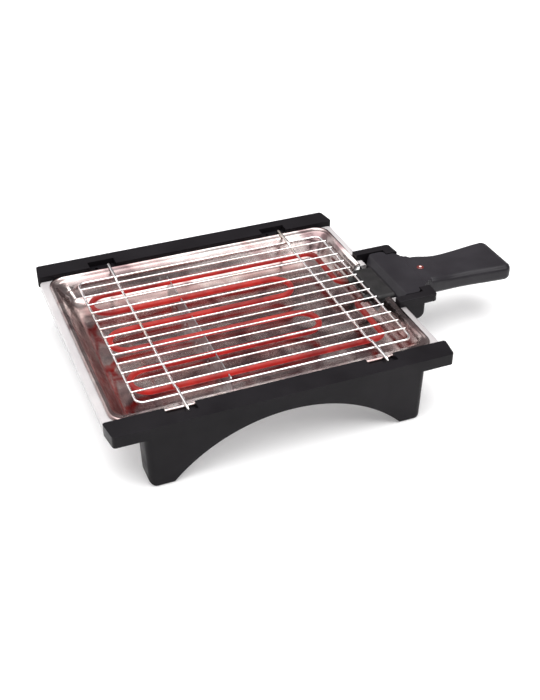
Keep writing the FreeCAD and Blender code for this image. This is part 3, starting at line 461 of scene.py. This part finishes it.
def railMesh(side):
    # plan with its two notches at the notch floor, then down for the slab and up for the top
    look = frameLook
    bm = bmesh.new()
    inner = side * look["innerY"]
    outer = side * look["outerY"]
    recess = side * (look["innerY"] + look["notchReach"])
    floorZ = look["notchFloor"]

    def corner(x, y):
        return bm.verts.new((x, y, floorZ))

    left = corner(-look["railHalf"], inner)
    notches = []
    for middle in (-look["notchMiddle"], look["notchMiddle"]):
        a = middle - look["notchHalf"]
        b = middle + look["notchHalf"]
        notches.append([corner(a, inner), corner(a, recess), corner(b, recess), corner(b, inner)])
    right = corner(look["railHalf"], inner)
    outerRight = corner(look["railHalf"] - look["endSlant"], outer)
    outerLeft = corner(-look["railHalf"] + look["endSlant"], outer)
    topFace = bm.faces.new([left, *notches[0], *notches[1], right, outerRight, outerLeft])
    for notch, middle in zip(notches, (-look["notchMiddle"], look["notchMiddle"])):
        rim = [bm.edges.get((a, b)) for a, b in zip(notch, notch[1:])]
        rim.append(bm.edges.new((notch[0], notch[3])))
        for way in (-1, 1):
            spot = Matrix.Translation((middle + way * look["seatPitch"] / 2,
                                       side * look["seatY"], floorZ))
            ring = bmesh.ops.create_circle(bm, segments=14, radius=look["seatRadius"], matrix=spot)
            rim += list({edge for vert in ring["verts"] for edge in vert.link_edges})
        bmesh.ops.triangle_fill(bm, use_beauty=True, use_dissolve=False, edges=rim)
    slab = bmesh.ops.extrude_face_region(bm, geom=bm.faces[:])["geom"]
    bmesh.ops.translate(bm, vec=(0, 0, look["under"] - floorZ),
                        verts=[item for item in slab if isinstance(item, bmesh.types.BMVert)])
    topFace = max((face for face in bm.faces if face.calc_center_median().z > floorZ - near),
                  key=lambda face: face.calc_area())
    raised = bmesh.ops.extrude_face_region(bm, geom=[topFace])["geom"]
    bmesh.ops.translate(bm, vec=(0, 0, look["top"] - floorZ),
                        verts=[item for item in raised if isinstance(item, bmesh.types.BMVert)])
    if topFace.is_valid:
        bmesh.ops.delete(bm, geom=[topFace], context="FACES_ONLY")
    endFrom = look["railHalf"] - look["endSlant"] - 1  # beyond this lie only the slanted ends
    posts = [edge for edge in bm.edges if all(abs(vert.co.x) > endFrom for vert in edge.verts)
             and abs(edge.verts[0].co.z - edge.verts[1].co.z) > 1]  # their upright edges
    bmesh.ops.bevel(bm, geom=posts, offset=look["cornerMm"], segments=5, affect="EDGES",
                    profile=0.5, material=-1, clamp_overlap=True)
    return bm


def legMesh(side):
    # outline with its arch swung by spin, thickened, then a shallow pocket for the cover
    look = frameLook
    bm = bmesh.new()
    face = side * (look["outerY"] - look["legSetback"])
    inner = side * look["innerY"]
    rise = look["archTop"] - look["footZ"]
    archRadius = (look["footIn"] ** 2 + rise ** 2) / (2 * rise)
    archCentre = look["archTop"] - archRadius
    halfTurn = math.asin(look["footIn"] / archRadius)
    start = bm.verts.new((-look["footIn"], face, look["footZ"]))
    swung = bmesh.ops.spin(bm, geom=[start], cent=(0, face, archCentre), axis=(0, 1, 0),
                           angle=2 * halfTurn, steps=look["archSteps"], use_duplicate=False)
    end = [item for item in swung["geom_last"] if isinstance(item, bmesh.types.BMVert)][0]
    topZ = look["under"] + 1  # the leg runs a little into the rail
    footX = look["legHalf"] - look["legTaper"]
    corners = [end]
    for x, z in ((footX, look["footZ"]), (look["legHalf"], topZ), (-look["legHalf"], topZ),
                 (-footX, look["footZ"])):
        corners.append(bm.verts.new((x, face, z)))
    corners.append(start)
    for a, b in zip(corners, corners[1:]):
        bm.edges.new((a, b))
    bmesh.ops.contextual_create(bm, geom=bm.edges[:])
    block = bmesh.ops.extrude_face_region(bm, geom=bm.faces[:])["geom"]
    bmesh.ops.translate(bm, vec=(0, inner - face, 0),
                        verts=[item for item in block if isinstance(item, bmesh.types.BMVert)])
    bmesh.ops.recalc_face_normals(bm, faces=bm.faces)
    flat = max((item for item in bm.faces if abs(item.calc_center_median().y - inner) < near),
               key=lambda item: item.calc_area())
    bmesh.ops.inset_region(bm, faces=[flat], thickness=look["wall"], depth=0,
                           use_even_offset=True)
    pocket = bmesh.ops.extrude_face_region(bm, geom=[flat])["geom"]
    bmesh.ops.translate(bm, vec=(0, side * look["coverDeep"], 0),
                        verts=[item for item in pocket if isinstance(item, bmesh.types.BMVert)])
    if flat.is_valid:
        bmesh.ops.delete(bm, geom=[flat], context="FACES_ONLY")
    posts = []  # the upright corners of the outer face, and the heels
    for edge in bm.edges:
        a, b = (vert.co for vert in edge.verts)
        atFace = abs(a.y - face) < near and abs(b.y - face) < near
        atEnd = min(abs(a.x), abs(b.x)) > footX - 0.5
        tall = abs(a.z - b.z) > rise / 2
        heel = atEnd and max(a.z, b.z) < look["footZ"] + near
        if (atFace and atEnd and tall) or heel:
            posts.append(edge)
    bmesh.ops.bevel(bm, geom=posts, offset=look["legCornerMm"], segments=7, affect="EDGES",
                    profile=0.5, material=-1, clamp_overlap=True)
    return bm


for side, word in ((-1, "front"), (1, "back")):
    rail = railMesh(side)
    bmesh.ops.recalc_face_normals(rail, faces=rail.faces)
    leg = legMesh(side)
    carrier = bpy.data.meshes.new(word + "Leg")
    leg.to_mesh(carrier)
    leg.free()
    rail.from_mesh(carrier)
    bpy.data.meshes.remove(carrier)
    intoPlace(rail)
    finishPiece(rail, word + "SideFrame", mouldedPbt, [word + "_side_frame"],
                frameLook["edgeMm"])
    softenedCopy(word + "_inner_cover", mouldedPbt, frameLook["coverEdgeMm"])
    for screws in (word + "_frame_screws", word + "_cover_screws"):
        softenedCopy(screws, zincSteel, frameLook["screwEdgeMm"])
print("side frames made")

footEdgeMm = 0.4
for hand in ("left", "right"):
    for word in ("front", "back"):
        softenedCopy("foot_" + word + "_" + hand, mouldedRubber, footEdgeMm)

tubLook = {
    "flangeTop": 72, "floor": 38, "wellHalfX": 186, "wellHalfY": 147, "slope": 15, "corner": 18,
    "flangeHalfX": 197, "flangeHalfY": 153.9, "skirt": 10, "edgeCorner": 3, "sheet": 1.0,
    "floorBend": ((-4, 5, 0), (-1.8, 4, 0.4), (0, 3, 1.6), (1.2, 2.5, 3.6)),  # out, tighter, up
    "lipBend": ((-1.6, 2.6), (-0.9, 0.9), (0.4, 0)),  # out, down
    "edgeBend": ((-1.2, 0), (-0.3, 0.4), (0, 1.3)),
    "windowX": 150, "windowHalfY": 42, "windowZ": 59}


def tubMesh():
    look = tubLook
    x, y, r = look["wellHalfX"], look["wellHalfY"], look["corner"]
    floorX, floorY = x - look["slope"], y - look["slope"]
    top, floor = look["flangeTop"], look["floor"] + look["sheet"]
    rings = []
    for out, tighter, up in look["floorBend"]:
        rings.append((floorX + out, floorY + out, r - tighter, floor + up))
    for out, down in look["lipBend"]:
        rings.append((x + out, y + out, r, top - down))
    for out, down in (*look["edgeBend"], (0, look["skirt"])):
        rings.append((look["flangeHalfX"] + out, look["flangeHalfY"] + out, look["edgeCorner"],
                      top - down))
    bm = growRings(rings)
    cutWindow(bm, look["windowX"], look["windowHalfY"], look["windowZ"])
    intoPlace(bm)
    return bm


tub = finishPiece(tubMesh(), "baseTub", firedEnamel, ["base_tub"])
thicken(tub, tubLook["sheet"])

panLook = {
    "floor": 46, "rimTop": 74.5, "halfX": 183, "halfY": 144, "slope": 17, "fold": 18, "corner": 16,
    "beadHalfX": 186.6, "beadHalfY": 151.8, "beadZ": 74.0, "beadRadius": 1.7, "beadPlay": 0.05,
    "rimBend": ((0.1, 0.6), (0.8, 0.1)), "rimToBead": 1.9, "sheet": 0.8,  # rim: out, down
    "foldTighter": 2.5, "wallTighter": 1.5, "rimWider": 1, "beadWider": 2,  # on the corner
    "windowX": 150, "windowHalfY": 42, "windowZ": 58}


def panMesh():
    look = panLook
    height = look["rimTop"] - look["floor"]
    lean = math.atan2(height, look["slope"])
    reach = look["fold"] * math.tan(lean / 2)
    rings = []
    for share in (0, 0.15, 0.3, 0.45, 0.6, 0.75, 0.9, 1):  # the fold from floor to wall
        turn = lean * share
        out = -look["slope"] - reach + look["fold"] * math.sin(turn)
        up = look["fold"] * (1 - math.cos(turn))
        rings.append((look["halfX"] + out, look["halfY"] + out,
                      look["corner"] - look["foldTighter"], look["floor"] + up))
    for share in (0.5, 0.93):  # the sloped wall
        out = -look["slope"] * (1 - share)
        rings.append((look["halfX"] + out, look["halfY"] + out,
                      look["corner"] - look["wallTighter"] + look["wallTighter"] * share,
                      look["floor"] + height * share))
    for out, down in look["rimBend"]:
        rings.append((look["halfX"] + out, look["halfY"] + out, look["corner"],
                      look["rimTop"] - down))
    rimOut = look["rimToBead"]
    rings.append((look["beadHalfX"] - rimOut, look["beadHalfY"] - rimOut,
                  look["corner"] + look["rimWider"], look["rimTop"]))
    curl = look["beadRadius"] - look["beadPlay"]
    for turn in (150, 120, 90, 60, 30, 0, -30, -60, -90, -120, -150):  # the rolled bead
        out = curl * math.cos(math.radians(turn))
        up = curl * math.sin(math.radians(turn))
        rings.append((look["beadHalfX"] + out, look["beadHalfY"] + out,
                      look["corner"] + look["beadWider"], look["beadZ"] + up))
    bm = growRings(rings, 10)
    cutWindow(bm, look["windowX"], look["windowHalfY"], look["windowZ"])
    intoPlace(bm)
    return bm


pan = finishPiece(panMesh(), "dripPan", drawnSteel, ["drip_pan"], sharpAngle=60)
thicken(pan, panLook["sheet"])
print("tub and pan made")

rackLook = {
    "middleX": 7.5, "length": 326, "depth": 260, "corner": 9, "rodRadius": 1.0, "rodCount": 13,
    "rodZ": 77, "frameRadius": 1.5, "frameZ": 74.48, "supportRadius": 1.75, "supportZ": 74.23,
    "supportHigh": 77.75, "supportMiddle": 116.5, "seatPitch": 15, "seatY": 161, "hookEnd": 66.4,
    "supportBend": 5, "climbFrom": 2.5, "climb": 10, "weldRadius": 1.25, "weldFlat": 0.55,
    "weldSunk": 0.1, "cornerSteps": 8}


def rackPieces():
    look = rackLook
    halfX, halfY = look["length"] / 2, look["depth"] / 2
    loop = []
    for signX, signY in ((-1, -1), (1, -1), (1, 1), (-1, 1)):
        centre = Vector((look["middleX"] + signX * (halfX - look["corner"]),
                         signY * (halfY - look["corner"]), look["frameZ"]))
        first = {(-1, -1): 180, (1, -1): 270, (1, 1): 0, (-1, 1): 90}[(signX, signY)]
        for step in range(look["cornerSteps"] + 1):
            angle = math.radians(first + 90 * step / look["cornerSteps"])
            loop.append(centre + look["corner"] * Vector((math.cos(angle), math.sin(angle), 0)))
    bm = wireMesh([loop], look["frameRadius"], True)
    intoPlace(bm)
    finishPiece(bm, "rackFrame", chromedWire, ["rack_frame"], sharpAngle=60)
    pitch = look["depth"] / (look["rodCount"] + 1)
    reach = halfX + look["frameRadius"]  # the wires end flush with the frame's outside
    rodYs = [-halfY + pitch * (i + 1) for i in range(look["rodCount"])]
    rods = [[Vector((look["middleX"] - reach, y, look["rodZ"])),
             Vector((look["middleX"] + reach, y, look["rodZ"]))] for y in rodYs]
    bm = wireMesh(rods, look["rodRadius"])
    supportXs = [side * look["supportMiddle"] + look["seatPitch"] / 2 for side in (-1, 1)]
    for y in rodYs:
        for x in (look["middleX"] - halfX, look["middleX"] + halfX, *supportXs):
            # the small squeezed-out collar of each spot weld
            spot = Matrix.Translation((x, y, look["rodZ"] - look["rodRadius"] - look["weldSunk"]))
            squat = Matrix.Diagonal((1.0, 1.0, look["weldFlat"], 1.0))
            bmesh.ops.create_icosphere(bm, subdivisions=1, radius=look["weldRadius"],
                                       matrix=spot @ squat)
    intoPlace(bm)
    finishPiece(bm, "rackRods", chromedWire, ["rack_rods"], sharpAngle=60)
    paths = []
    low = halfY - pitch + look["climbFrom"]
    for x in supportXs:
        half = [(low, look["supportZ"]), (low + look["climb"], look["supportHigh"]),
                (look["seatY"], look["supportHigh"]), (look["seatY"], look["hookEnd"])]
        points = [Vector((x, -y, z)) for y, z in reversed(half)]
        points += [Vector((x, y, z)) for y, z in half]
        paths.append(roundedPath(points, look["supportBend"]))
    bm = wireMesh(paths, look["supportRadius"])
    intoPlace(bm)
    finishPiece(bm, "rackSupports", chromedWire, ["rack_supports"], sharpAngle=60)


rackPieces()
print("rack made")

elementLook = {
    "radius": 3.5, "z": 67, "pitch": 42, "runs": 6, "left": -150, "right": 92, "feedX": 150,
    "feedBend": 12, "coldY": 22, "endX": 214, "turnPlay": 0.01, "turnStep": 9}


def elementPiece():
    look = elementLook
    top = look["pitch"] * (look["runs"] - 1) / 2
    ys = [top - i * look["pitch"] for i in range(look["runs"])]
    z = look["z"]
    feed = [Vector((look["endX"], look["coldY"], z)), Vector((look["feedX"], look["coldY"], z)),
            Vector((look["feedX"], ys[0], z)), Vector((0, ys[0], z))]
    path = roundedPath(feed, look["feedBend"])
    # tail mirrors the feed, and the runs lie between the two
    tail = [Vector((p.x, -p.y, p.z)) for p in reversed(path)]
    snake = [Vector((0, ys[0], z))]
    for i, y in enumerate(ys[:-1]):
        endX = look["left"] if i % 2 == 0 else look["right"]
        snake += [Vector((endX, y, z)), Vector((endX, ys[i + 1], z))]
    snake.append(Vector((0, ys[-1], z)))
    path += roundedPath(snake, look["pitch"] / 2 - look["turnPlay"], look["turnStep"])[1:-1]
    path += tail
    bm = wireMesh([path], look["radius"])
    intoPlace(bm)
    finishPiece(bm, "heatingElement", glowingSheath, ["heating_element"],
                sharpAngle=60)


elementPiece()
# what goes with it, each with its finish and the rounding of its edges in millimetres
for node, finish, edgeMm in (("element_comb", zincSteel, 0.25), ("cold_sleeves", braidedSleeve, 0.3),
                             ("element_shroud", bakedStovePaint, 0.25)):
    softenedCopy(node, finish, edgeMm)
print("element made")

# each node with its finish, the rounding of its edges in millimetres, and for the grip a lower
# angle from which an edge counts as one, so that its soft creases are rounded too
heaterLook = {
    "cradle": (mouldedPbt, 0.9), "cradle_screws": (zincSteel, 0.35),
    "handle_upper": (polishedPbt, 0.5, 25), "handle_lower": (polishedPbt, 0.5, 25),
    "handle_screws": (zincSteel, 0.35), "pilot_lens": (litLens, 0.3),
    "pilot_lamp": (lampGlass, 0.2), "safety_switch": (mouldedPhenolic, 0.4),
    "safety_plunger": (mouldedPhenolic, 0.3), "element_plate": (zincSteel, 0.25),
    "thermal_cutout": (zincSteel, 0.2), "element_bushes": (firedSteatite, 0.2),
    "element_pins": (turnedBrass, 0.15), "terminal_block": (firedSteatite, 0.4),
    "terminal_clamps": (turnedBrass, 0.2), "lead_wires": (siliconeLead, 0),
    "cord_gland": (mouldedRubber, 0.4)}

for node, finish in heaterLook.items():
    softenedCopy(node, *finish)
print("heater unit made")

studioLook = {
    "floorHalf": 6.0, "floorColor": "#e2e2e2", "floorGlow": 0.35,
    "backdropColor": "#ffffff", "overheadColor": "#ffffff", "wallColor": "#8f898b",
    "skyStrength": 0.85, "wallTop": 0.6, "overheadFrom": 0.85,
    "panels": {  # place in metres, size in metres, watts
        "overheadPanel": ((-0.1, -0.2, 1.9), 2.4, 58),
        "keyPanel": ((-1.3, 1.0, 1.1), 2.2, 14),
        "fillPanel": ((1.0, -1.3, 1.2), 0.7, 7)},
    "cameraSpot": (-0.446, -1.014, 0.771), "cameraPitch": 34.95, "cameraYaw": 22.07,
    "sensorMm": 36, "focalPx": 1078, "frameWidthPx": 540}


def makeStudio():
    look = studioLook
    bm = bmesh.new()
    bmesh.ops.create_grid(bm, x_segments=1, y_segments=1, size=look["floorHalf"])
    mesh = bpy.data.meshes.new("studioFloor")
    bm.to_mesh(mesh)
    bm.free()
    floor = bpy.data.objects.new("studioFloor", mesh)
    bpy.context.scene.collection.objects.link(floor)
    material, tree, place, shader = startMaterial("paperSweep", {
        "Base Color": hexColor(look["floorColor"]), "Roughness": 0.9,
        "Emission Color": hexColor(look["floorColor"]), "Emission Strength": look["floorGlow"]})
    mesh.materials.append(material)
    world = bpy.data.worlds.new("softTent")
    bpy.context.scene.world = world
    world.use_nodes = True
    # dark walls up to a bright ceiling, so that polished steel has something to mirror
    tree = world.node_tree
    aim = addNode(tree, "ShaderNodeTexCoord").outputs["Generated"]
    rise = addNode(tree, "ShaderNodeSeparateXYZ", links={"Vector": aim}).outputs["Z"]
    ceiling = mapTo(tree, rise, 0, 1, look["wallTop"], look["overheadFrom"])
    room = mixColors(tree, ceiling, look["wallColor"], look["overheadColor"])
    seen = addNode(tree, "ShaderNodeLightPath").outputs["Is Camera Ray"]
    sky = tree.nodes["Background"]
    tree.links.new(mixColors(tree, seen, room, look["backdropColor"]), sky.inputs["Color"])
    sky.inputs["Strength"].default_value = look["skyStrength"]
    for name, (spot, size, power) in look["panels"].items():
        lamp = bpy.data.lights.new(name, "AREA")
        lamp.size = size
        lamp.energy = power
        panel = bpy.data.objects.new(name, lamp)
        panel.location = spot
        panel.rotation_euler = (-Vector(spot)).to_track_quat("-Z", "Y").to_euler()
        bpy.context.scene.collection.objects.link(panel)
    lens = bpy.data.cameras.new("camera")
    lens.sensor_width = look["sensorMm"]
    lens.sensor_fit = "HORIZONTAL"
    lens.lens = look["focalPx"] * lens.sensor_width / look["frameWidthPx"]
    camera = bpy.data.objects.new("camera", lens)
    camera.location = look["cameraSpot"]
    camera.rotation_euler = (math.radians(90 - look["cameraPitch"]), 0,
                             -math.radians(look["cameraYaw"]))
    bpy.context.scene.collection.objects.link(camera)
    bpy.context.scene.camera = camera
    bpy.context.scene.view_settings.view_transform = "Standard"


makeStudio()
print("studio made")
